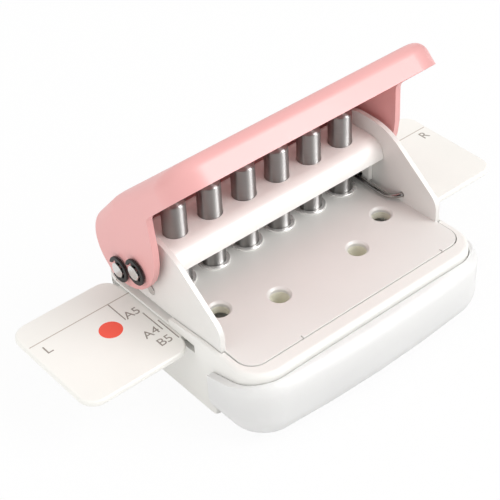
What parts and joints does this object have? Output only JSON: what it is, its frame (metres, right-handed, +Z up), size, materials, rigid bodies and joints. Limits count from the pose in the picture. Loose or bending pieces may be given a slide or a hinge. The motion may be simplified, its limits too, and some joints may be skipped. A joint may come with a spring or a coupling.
{
  "type": "loose-leaf lever punch",
  "caption": "Desk lever punch: pressing the pink lever drives a row of steel pins through a slotted deck; slide-out paper guides at both sides, frosted chip tray below.",
  "frame": {"origin": "on the underside of the base, straight below the middle of the pin row", "axes": "+X along the pin row to the user's right, +Y away from the user, +Z up"},
  "size_m": [0.1192, 0.058, 0.0623],
  "materials": {
    "base_white": "satin white moulded plastic",
    "frame_white": "warm white powder coat",
    "bridge_white": "warm white powder coat",
    "lever_pink": "satin pink powder coat",
    "guide_white": "satin white moulded plastic",
    "tray_frost": "frosted translucent plastic",
    "pin_steel": "ground steel",
    "bare_steel": "bright steel",
    "black_clip": "black oxide",
    "spring_wire": "drawn spring wire"
  },
  "bodies": {
    "base": {"base_shell": "base_white", "die_plate": "bare_steel", "paper_stop": "base_white", "frame_plate": "frame_white", "frame_screws": "bare_steel", "pin_bridge": "bridge_white", "bridge_rivets": "bare_steel", "pivot_shaft": "bare_steel", "pivot_clips": "black_clip", "return_spring": "spring_wire"},
    "lever": {"lever_shell": "lever_pink"},
    "punch_gang": {"punch_pin_1": "pin_steel", "punch_pin_2": "pin_steel", "punch_pin_3": "pin_steel", "punch_pin_4": "pin_steel", "punch_pin_5": "pin_steel", "punch_pin_6": "pin_steel", "drive_shaft": "bare_steel", "drive_clips": "black_clip"},
    "left_guide_body": {"left_guide": "guide_white"},
    "right_guide_body": {"right_guide": "guide_white"},
    "tray": {"chip_tray": "tray_frost"}
  },
  "joints": [
    {"name": "lever_press", "type": "hinge", "parent": "base", "child": "lever", "pos_m": [0, 0.007, 0.0238], "axis": [1, 0, 0], "range_deg": [0, 21], "stiffness_Nm_per_rad": 0.3, "springref_deg": -17.19, "deforming": ["return_spring"]},
    {"name": "pin_stroke", "type": "slide", "parent": "base", "child": "punch_gang", "axis": [0, 0, -1], "range_m": [0, 0.0028]},
    {"name": "left_guide_pull", "type": "slide", "parent": "base", "child": "left_guide_body", "axis": [-1, 0, 0], "range_m": [-0.026, 0]},
    {"name": "right_guide_pull", "type": "slide", "parent": "base", "child": "right_guide_body", "axis": [1, 0, 0], "range_m": [-0.026, 0]},
    {"name": "tray_pull", "type": "slide", "parent": "base", "child": "tray", "axis": [0, -1, 0], "range_m": [0, 0.03]}
  ],
  "couplings": [
    {"joint": "pin_stroke", "follows": "lever_press", "m_per_rad": 0.00763}
  ]
}
